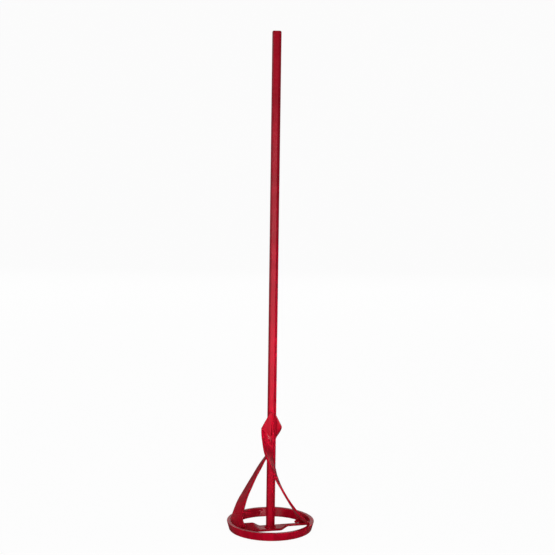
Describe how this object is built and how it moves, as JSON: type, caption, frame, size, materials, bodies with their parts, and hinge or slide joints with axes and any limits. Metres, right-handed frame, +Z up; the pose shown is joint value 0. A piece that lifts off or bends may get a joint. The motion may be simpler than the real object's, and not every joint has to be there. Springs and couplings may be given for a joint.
{
  "type": "mortar mixing paddle",
  "caption": "Drill-driven mortar mixing paddle: hexagonal shaft, flared hoop, cross strap and two helical blades that lift the mix as they turn.",
  "frame": {"origin": "on the shaft's axis, at the underside of the cross strap, in the plane that the tool stands on", "axes": "+Z up along the shaft towards the shank's free end; -Y towards the viewer of the stored picture, where the front blade crosses the shaft; +X to the right"},
  "size_m": [0.112, 0.1131, 0.6325],
  "materials": {
    "red_enamel": "gloss red enamel over mild steel, slightly uneven from dipping",
    "enamelled_weld": "the same red enamel over rippled weld beads"
  },
  "bodies": {
    "root": {"shaft": "red_enamel", "hoop": "red_enamel", "cross_strap": "red_enamel", "blade_front": "red_enamel", "blade_rear": "red_enamel", "weld_hoop_seam": "enamelled_weld", "weld_shaft_foot": "enamelled_weld", "weld_wing_front": "enamelled_weld", "weld_wing_rear": "enamelled_weld", "weld_foot_front": "enamelled_weld", "weld_foot_rear": "enamelled_weld", "weld_blade_hoop_front": "enamelled_weld", "weld_blade_hoop_rear": "enamelled_weld", "weld_strap_end_right": "enamelled_weld", "weld_strap_end_left": "enamelled_weld"}
  },
  "joints": []
}
